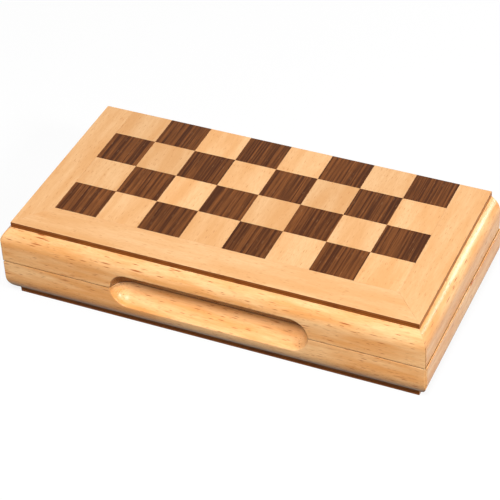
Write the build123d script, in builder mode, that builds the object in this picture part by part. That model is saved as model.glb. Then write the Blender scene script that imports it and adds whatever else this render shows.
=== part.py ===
from build123d import *
import os
from math import acos, degrees, sqrt

# A folding travel chess set: two beech trays hinged along the back, each with half of an
# inlaid board on its outward face and a nested tray of sixteen men inside.
# X runs along the case, Y to the hinged back, Z up. The origin is the middle of the
# underside. Both halves are drawn as the base, and the lid is mirrored about the rims.

os.makedirs("parts", exist_ok=True)

# Board on the outward face of each half
square = 24.0
squares_long = 8
squares_deep = 4
saw_loss = 2.0
border_left = 16.0
border_right = 17.6
border_front = 19.4
veneer_thickness = 0.6
veneer_joint = 0.06
steel_thickness = 0.3
steel_inset = 3.0
core_thickness = 4.4

# Rails of the frame: flat beside the rim, where the scoop is milled, and rounded beyond
rail_width = 14.0
rail_overhang = 5.2
panel_proud = 3.1
back_rail_width = 12.0
corner_round = 1.5
rim_round = 0.7
lid_shift = 0.8

# Finger scoop, milled across both front rails with a round-nosed cutter
scoop_length = 110.4
scoop_height = 20.2
scoop_depth = 8.5
scoop_round = 0.6
scoop_margin = 0.7

# Butt hinges
hinge_spacing = 150.0
hinge_length = 28.0
leaf_width = 9.0
leaf_thickness = 1.0
leaf_clearance = 0.1
knuckle_diameter = 4.5
knuckle_gap = 0.2
knuckle_clearance = 0.35
pin_diameter = 1.6
pin_clearance = 0.05
pin_head_diameter = 2.8
pin_head_thickness = 0.6
back_gap = 0.15
screw_spacing = 18.0
screw_length = 6.0
screw_shank_diameter = 1.8
screw_head_diameter = 3.8
screw_clearance = 0.1
screw_slot = 0.5

# Magnets that hold the case shut
clasp_magnet_diameter = 6.0
clasp_magnet_thickness = 3.0
clasp_magnet_inset = 20.0
magnet_clearance = 0.05
flush_recess = 0.1

# Nested trays
tray_clearance = 0.3
tray_floor = 0.9
tray_round = 1.0
nest_clearance = 0.3
nest_wall = 2.0
headroom = 1.1
trough_floor = 2.2
trough_round = 3.0

# Men: base diameters are shares of the square, and heights are multiples of the base
king_share = 2 / 3
queen_share = 0.65
officer_share = 0.6
pawn_share = 0.54
king_slenderness = 2.625
queen_slenderness = 2.45
bishop_slenderness = 2.35
knight_slenderness = 2.15
rook_slenderness = 1.85
pawn_slenderness = 1.77
baize_thickness = 0.8
baize_inset = 0.6
man_magnet_diameter = 6.0
man_magnet_thickness = 2.0

# Worked out from the sizes above
panel_thickness = veneer_thickness + core_thickness
panel_length = border_left + squares_long * square + border_right
panel_depth = border_front + squares_deep * square - saw_loss
case_length = panel_length + 2 * rail_overhang
case_depth = panel_depth + rail_overhang
front = -case_depth / 2
back = case_depth / 2
panel_front = front + rail_overhang
grid_left = -panel_length / 2 + border_left
grid_front = panel_front + border_front

king_base = square * king_share
queen_base = square * queen_share
officer_base = square * officer_share
pawn_base = square * pawn_share
king_height = king_base * king_slenderness
queen_height = queen_base * queen_slenderness
bishop_height = officer_base * bishop_slenderness
knight_height = officer_base * knight_slenderness
rook_height = officer_base * rook_slenderness
pawn_height = pawn_base * pawn_slenderness

tray_height = tray_floor + nest_clearance + king_base / 2
nest_axis = panel_thickness + tray_height
rim = nest_axis + king_base / 2 + headroom
round_height = rim - scoop_height / 2 - scoop_margin
rail_round = ((round_height - panel_proud) ** 2 + rail_overhang**2) / (2 * rail_overhang)
round_turn = degrees(acos((rail_round - rail_overhang) / rail_round))
parting = Plane.XY.offset(rim)

hinge_y = back + back_gap
hinge_places = [-hinge_spacing / 2, hinge_spacing / 2]
knuckle_length = (hinge_length - 2 * knuckle_gap) / 3
screw_head_height = (screw_head_diameter - screw_shank_diameter) / 2
tray_front = front + rail_width + tray_clearance
tray_back = back - back_rail_width - tray_clearance
tray_length = case_length - 2 * (rail_width + tray_clearance)
officer_foot = tray_back - nest_wall - nest_clearance
pawn_foot = tray_front + nest_wall + nest_clearance
nest_pitch = (tray_length - nest_wall) / squares_long


def save(builder, node):
    """Label a finished piece and write it."""
    builder.part.label = node
    export_step(builder.part, f"parts/{node}.step")


def save_half(builder, side, node):
    """Write a piece drawn as the base's. The lid's is its mirror image about the rims."""
    if side == "lid":
        with BuildPart() as flipped:
            mirror(builder.part, about=parting)
        save(flipped, node)
    else:
        save(builder, node)


# Cutters and hardware places shared by both halves

scoop_radius = ((scoop_height / 2) ** 2 + scoop_depth**2) / (2 * scoop_depth)
scoop_axis_y = front + scoop_depth - scoop_radius
scoop_plane = Plane(origin=(0, scoop_axis_y, rim))
with BuildPart() as scoop_cutter:
    with BuildSketch(scoop_plane):
        SlotCenterToCenter(scoop_length - scoop_height, 2 * scoop_radius)
        Rectangle(
            scoop_length + 2 * scoop_radius,
            2 * scoop_radius,
            align=(Align.CENTER, Align.MAX),
            mode=Mode.SUBTRACT,
        )
    revolve(axis=Axis(scoop_plane.origin, (1, 0, 0)))

magnet_y = front + rail_width / 2
magnet_x = scoop_length / 2 + clasp_magnet_inset
clasp_spots = [(-magnet_x, magnet_y, rim), (magnet_x, magnet_y, rim)]
screw_y = hinge_y - (leaf_width + knuckle_diameter / 2 + knuckle_clearance) / 2
screw_spots = [
    (x + offset, screw_y, rim)
    for x in hinge_places
    for offset in (-screw_spacing / 2, screw_spacing / 2)
]


def along_x(x, y, z):
    """A place at a point, turned so that its Z axis lies along X."""
    return Location(Plane(origin=(x, y, z), x_dir=(0, 1, 0), z_dir=(1, 0, 0)))


# Frame rails

def rail_section(plane):
    """Section of a rounded rail: across from its outer face, and up to its rim."""
    with BuildSketch(plane) as section:
        with BuildLine():
            CenterArc((rail_round, round_height), rail_round, 180, round_turn)
            Polyline(
                (rail_overhang, panel_proud),
                (rail_overhang, panel_thickness),
                (rail_width, panel_thickness),
                (rail_width, rim),
                (0, rim),
                (0, round_height),
            )
        make_face()
        fillet(section.vertices().group_by(Axis.Y)[-1].sort_by(Axis.X)[0], rim_round)
    return section.sketch


def keep_mitre(x, side_x, side_y):
    """Cut away what lies behind the 45 degree plane through a front corner."""
    split(bisect_by=Plane(origin=(x, front, 0), z_dir=(side_x, side_y, 0)), keep=Keep.TOP)


def round_corners(x0):
    """Round the two front corners of the case in plan."""
    with BuildSketch() as outline:
        with Locations((x0, 0)):
            Rectangle(case_length, case_depth)
        fillet(outline.vertices().group_by(Axis.Y)[0], corner_round)
    extrude(outline.sketch, amount=rim, mode=Mode.INTERSECT)


def on_front(edge):
    """Whether an edge lies on the outer face or its arris, and not on the rim."""
    return edge.center().Y < front + rim_round and edge.center().Z < rim - rim_round / 8


def front_rail(x0):
    left, right = x0 - case_length / 2, x0 + case_length / 2
    plane = Plane(origin=(x0, front, 0), x_dir=(0, 1, 0), z_dir=(1, 0, 0))
    with BuildPart() as rail:
        extrude(rail_section(plane), amount=case_length / 2, both=True)
        keep_mitre(left, 1, -1)
        keep_mitre(right, -1, -1)
        round_corners(x0)
        add(scoop_cutter.part, mode=Mode.SUBTRACT)
        cut = rail.edges(Select.LAST)
        fillet([edge for edge in cut if on_front(edge)], scoop_round)
        with Locations(*clasp_spots):
            Hole(
                clasp_magnet_diameter / 2 + magnet_clearance,
                depth=clasp_magnet_thickness + flush_recess,
            )
    return rail


def side_rail(x0, side):
    """Left rail for side -1, right rail for side 1."""
    outer = x0 + side * case_length / 2
    plane = Plane(origin=(outer, 0, 0), x_dir=(-side, 0, 0), z_dir=(0, side, 0))
    with BuildPart() as rail:
        extrude(rail_section(plane), amount=case_depth / 2, both=True)
        keep_mitre(outer, side, 1)
        round_corners(x0)
    return rail


def hinge_relief():
    """Cut the mortises, knuckle notches and pilot holes of the hinges into a back rail."""
    with Locations(*[(x, hinge_y, rim) for x in hinge_places]):
        Box(
            hinge_length + 2 * leaf_clearance,
            leaf_width + leaf_clearance,
            leaf_thickness,
            align=(Align.CENTER, Align.MAX, Align.MAX),
            mode=Mode.SUBTRACT,
        )
    with Locations(*[along_x(x, hinge_y, rim) for x in hinge_places]):
        Cylinder(
            knuckle_diameter / 2 + knuckle_clearance,
            hinge_length + 2 * (pin_head_thickness + knuckle_clearance),
            mode=Mode.SUBTRACT,
        )
    with Locations(*screw_spots):
        Hole(screw_shank_diameter / 2 + screw_clearance, depth=screw_length + flush_recess)


def back_rail(x0):
    with BuildPart() as rail:
        with Locations((x0, back, panel_thickness)):
            Box(
                case_length - 2 * rail_width,
                back_rail_width,
                rim - panel_thickness,
                align=(Align.CENTER, Align.MAX, Align.MIN),
            )
        hinge_relief()
    return rail


# Board panel: core, steel sheet and veneers

def panel_core(x0):
    with BuildPart() as core:
        with Locations((x0, panel_front, veneer_thickness)):
            Box(
                panel_length,
                panel_depth,
                core_thickness,
                align=(Align.CENTER, Align.MIN, Align.MIN),
            )
        with Locations((x0, panel_front + steel_inset, veneer_thickness)):
            Box(
                panel_length - 2 * steel_inset,
                panel_depth - 2 * steel_inset,
                steel_thickness,
                align=(Align.CENTER, Align.MIN, Align.MIN),
                mode=Mode.SUBTRACT,
            )
    return core


def steel_sheet(x0):
    edge = steel_inset + veneer_joint
    with BuildPart() as sheet:
        with Locations((x0, panel_front + edge, veneer_thickness)):
            Box(
                panel_length - 2 * edge,
                panel_depth - 2 * edge,
                steel_thickness,
                align=(Align.CENTER, Align.MIN, Align.MIN),
            )
    return sheet


def border_strip(x0, strip):
    """One mitred veneer strip of the border: front, left or right."""
    grid_right = grid_left + squares_long * square
    outer_left, outer_right = -panel_length / 2, panel_length / 2
    corners = {
        "front": [
            (outer_left, panel_front),
            (outer_right, panel_front),
            (grid_right, grid_front),
            (grid_left, grid_front),
        ],
        "left": [
            (outer_left, panel_front),
            (grid_left, grid_front),
            (grid_left, back),
            (outer_left, back),
        ],
        "right": [
            (grid_right, grid_front),
            (outer_right, panel_front),
            (outer_right, back),
            (grid_right, back),
        ],
    }[strip]
    with BuildPart() as veneer:
        with BuildSketch():
            with Locations((x0, 0)):
                Polygon(*corners, align=None)
            offset(amount=-veneer_joint / 2, kind=Kind.INTERSECTION, mode=Mode.REPLACE)
        extrude(amount=veneer_thickness)
    return veneer


def veneer_squares(x0, parity):
    """The squares whose column and row, counted from the front left, add up to this parity."""
    with BuildPart() as veneer:
        for row in range(squares_deep):
            trim = saw_loss if row == squares_deep - 1 else 0
            for column in range(squares_long):
                if (column + row) % 2 != parity:
                    continue
                corner = (
                    x0 + grid_left + column * square + veneer_joint / 2,
                    grid_front + row * square + veneer_joint / 2,
                )
                with Locations(corner):
                    Box(
                        square - veneer_joint,
                        square - trim - veneer_joint,
                        veneer_thickness,
                        align=(Align.MIN, Align.MIN, Align.MIN),
                    )
    return veneer


# Hinges, their screws and pins

def hinge_leaves(own_knuckles, other_knuckles):
    """Leaves of both hinges with the knuckles at the given thirds of their length."""
    pitch = knuckle_length + knuckle_gap
    with BuildPart() as leaves:
        with Locations(*[(x, hinge_y, rim) for x in hinge_places]):
            Box(
                hinge_length,
                leaf_width,
                leaf_thickness,
                align=(Align.CENTER, Align.MAX, Align.MAX),
            )
        own = [along_x(x + third * pitch, hinge_y, rim) for x in hinge_places for third in own_knuckles]
        others = [
            along_x(x + third * pitch, hinge_y, rim) for x in hinge_places for third in other_knuckles
        ]
        with Locations(*own):
            Cylinder(knuckle_diameter / 2, knuckle_length)
        with Locations(*others):
            Cylinder(
                knuckle_diameter / 2 + knuckle_gap,
                knuckle_length + 2 * knuckle_gap,
                mode=Mode.SUBTRACT,
            )
        with Locations(*[along_x(x, hinge_y, rim) for x in hinge_places]):
            Cylinder(
                pin_diameter / 2 + pin_clearance,
                hinge_length + 2 * pin_head_thickness,
                mode=Mode.SUBTRACT,
            )
        with Locations(*screw_spots):
            CounterSinkHole(
                screw_shank_diameter / 2 + screw_clearance,
                screw_head_diameter / 2 + screw_clearance,
                depth=leaf_thickness,
                counter_sink_angle=90,
            )
    return leaves


def hinge_screws():
    """Slotted countersunk wood screws, with their heads just under the rim."""
    shank = screw_length - screw_head_height
    with BuildPart() as screws:
        with BuildSketch(Plane.XZ):
            with BuildLine():
                Polyline(
                    (0, -screw_length),
                    (screw_shank_diameter / 2, -screw_head_height - shank * 0.7),
                    (screw_shank_diameter / 2, -screw_head_height),
                    (screw_head_diameter / 2, 0),
                    (0, 0),
                    (0, -screw_length),
                )
            make_face()
        revolve(axis=Axis.Z)
        with Locations((0, 0, 0)):
            Box(
                screw_head_diameter,
                screw_slot,
                screw_slot,
                align=(Align.CENTER, Align.CENTER, Align.MAX),
                mode=Mode.SUBTRACT,
            )
    with BuildPart() as placed:
        with Locations(*[(x, y, z - flush_recess) for x, y, z in screw_spots]):
            add(screws.part)
    return placed


with BuildPart() as hinge_pins:
    with Locations(*[along_x(x, hinge_y, rim) for x in hinge_places]):
        Cylinder(pin_diameter / 2, hinge_length)
    ends = [
        along_x(x + side * (hinge_length + pin_head_thickness) / 2, hinge_y, rim)
        for x in hinge_places
        for side in (-1, 1)
    ]
    with Locations(*ends):
        Cylinder(pin_head_diameter / 2, pin_head_thickness)
save(hinge_pins, "hinge_pins")


# Men. Each is turned upright on its own axis, on its baize disc, then laid in its nest

class Man:
    """A man's shape, its overall sizes and how much room its body needs in the nest."""

    def __init__(self, builder, base, height, girth):
        self.part = builder.part
        self.base = base
        self.height = height
        self.girth = girth


def foot_height(radius):
    """Height of the plinth and its rounded shoulder, from the board up."""
    return baize_thickness + 0.54 * radius


def turn_foot(radius):
    """Plinth with a rounded shoulder and a step. Returns where the stem starts."""
    plinth = baize_thickness + 0.34 * radius
    top = foot_height(radius)
    Polyline((0, baize_thickness), (radius, baize_thickness), (radius, plinth))
    ThreePointArc((radius, plinth), (0.955 * radius, plinth + 0.13 * radius), (0.84 * radius, top))
    Line((0.84 * radius, top), (0.72 * radius, top))
    return (0.72 * radius, top)


def turn_stem(radius, neck, collar, collar_top):
    """Foot, hollow stem and a collar with sloping faces that meets the neck at the given height."""
    edge = 0.07 * radius
    middle_height = collar_top - 0.13 * radius
    lip = collar - edge
    start = turn_foot(radius)
    end = (neck, collar_top - 0.26 * radius)
    bend = (neck + 0.22 * (start[0] - neck), start[1] + 0.38 * (end[1] - start[1]))
    ThreePointArc(start, bend, end)
    Line(end, (lip, middle_height - edge))
    ThreePointArc(
        (lip, middle_height - edge),
        (collar, middle_height),
        (lip, middle_height + edge),
    )
    Line((lip, middle_height + edge), (neck, collar_top))


def turn_ball(radius, height):
    """Small ball finial. Returns where it starts, half way down its lower side."""
    start = (sqrt(0.5) * radius, height - (1 + sqrt(0.5)) * radius)
    ThreePointArc(start, (radius, height - radius), (0, height))
    return start


def bore_magnet():
    """Socket for the magnet in the underside."""
    with Locations((0, 0, baize_thickness)):
        Cylinder(
            man_magnet_diameter / 2 + magnet_clearance,
            man_magnet_thickness,
            align=(Align.CENTER, Align.CENTER, Align.MIN),
            mode=Mode.SUBTRACT,
        )


radius = pawn_base / 2
ball = 0.56 * radius
neck = 0.32 * radius
with BuildPart() as pawn_body:
    with BuildSketch(Plane.XZ):
        with BuildLine():
            seat = pawn_height - ball - sqrt(ball**2 - neck**2)
            turn_stem(radius, neck, 0.62 * radius, seat)
            ThreePointArc((neck, seat), (ball, pawn_height - ball), (0, pawn_height))
            Line((0, pawn_height), (0, baize_thickness))
        make_face()
    revolve(axis=Axis.Z)
    bore_magnet()
pawn = Man(pawn_body, pawn_base, pawn_height, 0.78)

radius = officer_base / 2
neck = 0.46 * radius
cup = 0.7 * radius
cup_top = rook_height
cup_foot = 0.72 * rook_height
with BuildPart() as rook_body:
    with BuildSketch(Plane.XZ):
        with BuildLine():
            turn_stem(radius, neck, 0.64 * radius, cup_foot)
            ThreePointArc(
                (neck, cup_foot),
                (0.93 * cup, cup_foot + 0.12 * radius),
                (cup, cup_foot + 0.34 * radius),
            )
            Polyline(
                (cup, cup_foot + 0.34 * radius),
                (cup, cup_top),
                (0.64 * cup, cup_top),
                (0.64 * cup, cup_top - 0.34 * radius),
                (0, cup_top - 0.4 * radius),
                (0, baize_thickness),
            )
        make_face()
    revolve(axis=Axis.Z)
    with Locations((0, 0, cup_top)):
        with PolarLocations(0, 3, angular_range=180):
            Box(
                2 * radius,
                0.2 * radius,
                0.28 * radius,
                align=(Align.CENTER, Align.CENTER, Align.MAX),
                mode=Mode.SUBTRACT,
            )
    bore_magnet()
rook = Man(rook_body, officer_base, rook_height, 0.78)

neck = 0.32 * radius
collar_top = 0.64 * bishop_height
finial = 0.17 * radius
with BuildPart() as bishop_body:
    with BuildSketch(Plane.XZ):
        with BuildLine():
            turn_stem(radius, neck, 0.62 * radius, collar_top)
            tip = turn_ball(finial, bishop_height)
            ThreePointArc((neck, collar_top), (0.5 * radius, collar_top + 0.42 * radius), tip)
            Line((0, bishop_height), (0, baize_thickness))
        make_face()
    revolve(axis=Axis.Z)
    with Locations(Location((0.42 * radius, 0, collar_top + 0.9 * radius), (0, -52, 0))):
        Box(0.6 * radius, 2 * radius, 0.12 * radius, mode=Mode.SUBTRACT)
    bore_magnet()
bishop = Man(bishop_body, officer_base, bishop_height, 0.78)

radius = queen_base / 2
neck = 0.34 * radius
collar_top = 0.62 * queen_height
crown = 0.62 * radius
finial = 0.18 * radius
crown_top = queen_height - 0.52 * radius
with BuildPart() as queen_body:
    with BuildSketch(Plane.XZ):
        with BuildLine():
            turn_stem(radius, neck, 0.62 * radius, collar_top)
            tip = turn_ball(finial, queen_height)
            ThreePointArc(
                (neck, collar_top),
                (0.72 * crown, collar_top + 0.56 * (crown_top - collar_top)),
                (crown, crown_top),
            )
            Line((crown, crown_top), (0.72 * crown, crown_top))
            ThreePointArc((0.72 * crown, crown_top), (0.5 * crown, tip[1] - 0.06 * radius), tip)
            Line((0, queen_height), (0, baize_thickness))
        make_face()
    revolve(axis=Axis.Z)
    with Locations((0, 0, crown_top)):
        with PolarLocations(1.06 * crown, 8):
            Cylinder(0.2 * crown, 0.5 * radius, mode=Mode.SUBTRACT)
    bore_magnet()
queen = Man(queen_body, queen_base, queen_height, 0.78)

radius = king_base / 2
neck = 0.36 * radius
collar_top = 0.6 * king_height
crown = 0.64 * radius
crown_top = king_height - 1.06 * radius
dome_top = king_height - 0.74 * radius
cross_bar = 0.2 * radius
with BuildPart() as king_body:
    with BuildSketch(Plane.XZ):
        with BuildLine():
            turn_stem(radius, neck, 0.62 * radius, collar_top)
            ThreePointArc(
                (neck, collar_top),
                (0.74 * crown, collar_top + 0.56 * (crown_top - collar_top)),
                (crown, crown_top),
            )
            ThreePointArc(
                (crown, crown_top),
                (0.98 * crown, crown_top + 0.08 * radius),
                (0.86 * crown, crown_top + 0.12 * radius),
            )
            ThreePointArc(
                (0.86 * crown, crown_top + 0.12 * radius),
                (0.5 * crown, dome_top - 0.04 * radius),
                (0, dome_top),
            )
            Line((0, dome_top), (0, baize_thickness))
        make_face()
    revolve(axis=Axis.Z)
    with Locations((0, 0, dome_top - cross_bar)):
        Box(
            cross_bar,
            cross_bar,
            king_height - dome_top + cross_bar,
            align=(Align.CENTER, Align.CENTER, Align.MIN),
        )
    with Locations((0, 0, king_height - 1.5 * cross_bar)):
        Box(2.7 * cross_bar, cross_bar, cross_bar)
    bore_magnet()
king = Man(king_body, king_base, king_height, 0.78)

# Knight: a turned foot with a carved head, cut to a side view and then to a front view
radius = officer_base / 2
head_foot = foot_height(radius) + 0.16 * radius
head = knight_height - head_foot


def carve(points):
    """Points given in shares of the base's radius across and of the head's height up."""
    return [(x * radius, head_foot + z * head) for x, z in points]


with BuildPart() as knight_body:
    with BuildSketch(Plane.XZ):
        with BuildLine():
            Spline(*carve([(0.60, -0.04), (0.70, 0.10), (0.50, 0.27), (0.24, 0.41)]))
            Spline(*carve([(0.24, 0.41), (0.42, 0.45), (0.58, 0.40), (0.72, 0.36)]))
            Spline(*carve([(0.72, 0.36), (0.86, 0.38), (0.90, 0.47), (0.81, 0.57), (0.58, 0.73), (0.46, 0.87)]))
            Polyline(*carve([(0.46, 0.87), (0.36, 1.0), (0.18, 0.91)]))
            Spline(*carve([(0.18, 0.91), (-0.22, 0.84), (-0.56, 0.65), (-0.72, 0.38), (-0.70, 0.14), (-0.60, -0.04)]))
            Line(*carve([(-0.60, -0.04), (0.60, -0.04)]))
        make_face()
    extrude(amount=radius, both=True)
    with BuildSketch(Plane.YZ):
        with BuildLine():
            Polyline(
                *carve([(0.56, -0.1), (0.52, 0.2), (0.36, 0.5), (0.34, 0.76), (0.24, 1.02)]),
                *carve([(-0.24, 1.02), (-0.34, 0.76), (-0.36, 0.5), (-0.52, 0.2), (-0.56, -0.1)]),
                close=True,
            )
        make_face()
    extrude(amount=radius, both=True, mode=Mode.INTERSECT)
    with BuildSketch(Plane.XZ):
        with BuildLine():
            start = turn_foot(radius)
            ThreePointArc(start, (0.7 * radius, head_foot - 0.02 * radius), (0.6 * radius, head_foot))
            Polyline((0.6 * radius, head_foot), (0, head_foot), (0, baize_thickness))
        make_face()
    revolve(axis=Axis.Z)
    bore_magnet()
knight = Man(knight_body, officer_base, knight_height, 1.0)


# Nests: officers stand their feet to the back, pawns to the front

def laid(column, foot_y, towards):
    """Place on the nest axis of a column, with the man's head towards -Y or +Y."""
    x = -tray_length / 2 + nest_wall / 2 + (column + 0.5) * nest_pitch
    return Location(Plane(origin=(x, foot_y, nest_axis), x_dir=(1, 0, 0), z_dir=(0, towards, 0)))


def officer_places(x0, *columns):
    return [Location((x0, 0, 0)) * laid(column, officer_foot, -1) for column in columns]


def pawn_places(x0):
    return [Location((x0, 0, 0)) * laid(column, pawn_foot, 1) for column in range(squares_long)]


def army_places(x0):
    """Every man's shape with the places where copies of it lie."""
    return {
        "rooks": (rook, officer_places(x0, 0, 7)),
        "knights": (knight, officer_places(x0, 1, 6)),
        "bishops": (bishop, officer_places(x0, 2, 5)),
        "queen": (queen, officer_places(x0, 3)),
        "king": (king, officer_places(x0, 4)),
        "pawns": (pawn, pawn_places(x0)),
    }


def nest(man):
    """Bottle-shaped room round a man that lies half sunk in the tray."""
    foot = foot_height(man.base / 2) + nest_clearance
    body = man.girth * man.base / 2 + nest_clearance
    with BuildPart() as room:
        with Locations((0, 0, -nest_clearance)):
            Cylinder(
                man.base / 2 + nest_clearance,
                foot + nest_clearance,
                align=(Align.CENTER, Align.CENTER, Align.MIN),
            )
        Cylinder(
            body,
            man.height + nest_clearance,
            align=(Align.CENTER, Align.CENTER, Align.MIN),
        )
    return room.part


def tray(x0):
    """Flocked tray, with a finger trough between the heads of the two rows."""
    trough_front = pawn_foot + pawn_height + nest_clearance + nest_wall
    trough_back = officer_foot - king_height - nest_clearance - nest_wall
    with BuildPart() as block:
        with BuildSketch(Plane.XY.offset(panel_thickness)):
            with Locations((x0, (tray_front + tray_back) / 2)):
                RectangleRounded(tray_length, tray_back - tray_front, tray_round)
        extrude(amount=tray_height)
        for man, places in army_places(x0).values():
            room = nest(man)
            with Locations(*places):
                add(room, mode=Mode.SUBTRACT)
        with BuildSketch(Plane.XY.offset(panel_thickness + trough_floor)):
            with Locations((x0, (trough_front + trough_back) / 2)):
                RectangleRounded(
                    tray_length - 2 * nest_wall, trough_back - trough_front, trough_round
                )
        extrude(amount=tray_height, mode=Mode.SUBTRACT)
    return block


def men(shape, places):
    with BuildPart() as group:
        with Locations(*places):
            add(shape.part)
    return group


def under_the_men(x0, diameter, start, thickness):
    """One disc under every man of an army, for a diameter that may follow its base."""
    with BuildPart() as discs:
        for man, places in army_places(x0).values():
            with Locations(*places):
                with Locations((0, 0, start)):
                    Cylinder(
                        diameter(man) / 2,
                        thickness,
                        align=(Align.CENTER, Align.CENTER, Align.MIN),
                    )
    return discs


# Both halves

for side, x0, dark_parity, army in (("base", 0, 1, "light"), ("lid", -lid_shift, 0, "dark")):
    save_half(front_rail(x0), side, f"{side}_front_rail")
    save_half(side_rail(x0, -1), side, f"{side}_left_rail")
    save_half(side_rail(x0, 1), side, f"{side}_right_rail")
    save_half(back_rail(x0), side, f"{side}_back_rail")
    save_half(panel_core(x0), side, f"{side}_panel_core")
    save_half(steel_sheet(x0), side, f"{side}_steel_sheet")
    for strip in ("front", "left", "right"):
        save_half(border_strip(x0, strip), side, f"{side}_border_{strip}")
    save_half(veneer_squares(x0, dark_parity), side, f"{side}_dark_squares")
    save_half(veneer_squares(x0, 1 - dark_parity), side, f"{side}_light_squares")
    save_half(tray(x0), side, f"{side}_tray")
    save_half(hinge_screws(), side, f"{side}_hinge_screws")
    with BuildPart() as clasp_magnets:
        with Locations(*[(x, y, rim - flush_recess) for x, y, z in clasp_spots]):
            Cylinder(
                clasp_magnet_diameter / 2,
                clasp_magnet_thickness,
                align=(Align.CENTER, Align.CENTER, Align.MAX),
            )
    save_half(clasp_magnets, side, f"{side}_clasp_magnets")
    for group, (shape, places) in army_places(x0).items():
        save_half(men(shape, places), side, f"{army}_{group}")
    magnets = under_the_men(
        x0, lambda man: man_magnet_diameter, baize_thickness, man_magnet_thickness
    )
    save_half(magnets, side, f"{army}_magnets")
    baize = under_the_men(x0, lambda man: man.base - 2 * baize_inset, 0, baize_thickness)
    save_half(baize, side, f"{army}_baize")

save_half(hinge_leaves((-1, 1), (0,)), "base", "base_hinge_leaves")
save_half(hinge_leaves((0,), (-1, 1)), "lid", "lid_hinge_leaves")
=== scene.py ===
import logging
import math
import random
from collections.abc import Iterable
from dataclasses import dataclass, replace
from enum import Enum

import bmesh
import bpy
import numpy as np
from mathutils import Matrix, Vector


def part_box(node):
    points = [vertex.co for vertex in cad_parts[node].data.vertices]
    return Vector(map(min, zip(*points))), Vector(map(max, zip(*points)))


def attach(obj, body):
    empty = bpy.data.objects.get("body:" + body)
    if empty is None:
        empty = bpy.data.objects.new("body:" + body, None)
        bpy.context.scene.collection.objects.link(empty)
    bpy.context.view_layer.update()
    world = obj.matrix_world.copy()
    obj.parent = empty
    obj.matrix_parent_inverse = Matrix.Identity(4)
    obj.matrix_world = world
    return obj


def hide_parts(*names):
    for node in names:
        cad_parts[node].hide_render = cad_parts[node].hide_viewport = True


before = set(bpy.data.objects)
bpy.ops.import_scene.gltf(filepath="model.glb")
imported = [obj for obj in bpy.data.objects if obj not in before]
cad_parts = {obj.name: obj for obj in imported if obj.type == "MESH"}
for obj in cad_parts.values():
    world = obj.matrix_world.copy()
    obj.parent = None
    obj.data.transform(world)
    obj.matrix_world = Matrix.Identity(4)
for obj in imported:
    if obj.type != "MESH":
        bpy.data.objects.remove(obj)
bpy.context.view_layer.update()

# A folding travel chess set, closed: two beech trays hinged at the back, each with half of a
# veneered board on its outward face and sixteen men in a flocked tray inside.
# Everything is in metres in the frame's own axes: X along the case, Y to the back, Z up.

MM = 0.001
Pair = tuple[float, float]
Triple = tuple[float, float, float]
Colour = tuple[float, float, float, float]
Tree = bpy.types.NodeTree
Node = bpy.types.Node
Socket = bpy.types.NodeSocket

logging.basicConfig(level=logging.INFO, format="%(message)s")
log = logging.getLogger("chess_set")


# Small helpers for colours, nodes and objects

def linear(colour: str) -> Colour:
    """Turn an sRGB hex colour into linear light.

    Args:
        colour: The colour as "#rrggbb".

    Returns:
        Linear red, green, blue and an alpha of 1.
    """
    shares = [int(colour[i:i + 2], 16) / 255 for i in (1, 3, 5)]
    light = [s / 12.92 if s <= 0.04045 else ((s + 0.055) / 1.055) ** 2.4 for s in shares]
    return light[0], light[1], light[2], 1.0


def add_node(tree: Tree, kind: str, inputs: dict[str | int, object] | None = None) -> Node:
    """Add a shader node with its settings and its incoming links.

    Args:
        tree: The node tree it goes into.
        kind: Blender's name of the node type, without the word ShaderNode before it. The
            operation follows after a space, where the type has one.
        inputs: What goes in, by attribute name, or by the name or number of an input: a value,
            a socket to link from, or a node, which is linked from its first socket.

    Returns:
        The new node.
    """
    kind, _, operation = kind.partition(" ")
    node = tree.nodes.new(f"ShaderNode{kind}")
    if operation:
        node.operation = operation
    for name, value in (inputs or {}).items():
        socket = value.outputs[0] if isinstance(value, Node) else value
        if isinstance(socket, Socket):
            tree.links.new(socket, node.inputs[name])
        elif isinstance(name, str) and hasattr(node, name):
            setattr(node, name, value)
        else:
            node.inputs[name].default_value = value
    return node


def paint(tree: Tree, first: str, layers: Iterable[tuple[Node | Socket, str]]) -> Socket:
    """Lay tints over a first colour, one over another.

    Args:
        tree: The node tree.
        first: The colour under all the tints.
        layers: How much of each tint shows, from 0 to 1, and the tint.

    Returns:
        The colour that shows.
    """
    under = linear(first)
    for share, tint in layers:
        settings = {"data_type": "RGBA", 0: share, 6: under, 7: linear(tint)}
        under = add_node(tree, "Mix", settings).outputs[2]
    return under


def new_material(name: str) -> tuple[bpy.types.Material, Tree]:
    """Make an empty node material.

    Args:
        name: The material's name.

    Returns:
        The material and its cleared node tree.
    """
    material = bpy.data.materials.new(name)
    material.use_nodes = True
    material.node_tree.nodes.clear()
    return material, material.node_tree


def dress(node: str, material: bpy.types.Material) -> None:
    """Give a CAD node one material.

    Args:
        node: The CAD node's name.
        material: What it is finished with.
    """
    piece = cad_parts[node]
    piece.data.materials.clear()
    piece.data.materials.append(material)
    log.info("%s: %s", node, material.name)


def add_object(name: str, data: bpy.types.ID) -> bpy.types.Object:
    """Put an object into the scene.

    Args:
        name: The object's name.
        data: Its mesh, light or camera.

    Returns:
        The object.
    """
    item = bpy.data.objects.new(name, data)
    bpy.context.scene.collection.objects.link(item)
    return item


def direction(azimuth_deg: float, elevation_deg: float) -> Vector:
    """Point from the object to a place round it.

    Args:
        azimuth_deg: The turn from the front towards the right.
        elevation_deg: The rise above the horizon.

    Returns:
        A vector of length 1.
    """
    turn, rise = math.radians(azimuth_deg), math.radians(elevation_deg)
    level = math.cos(rise)
    return Vector((math.sin(turn) * level, -math.cos(turn) * level, math.sin(rise)))


# Finishes

# The brown that the panels' sawn edges are stained with, veneer and all.
EDGE_STAIN = "#834516"


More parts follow.
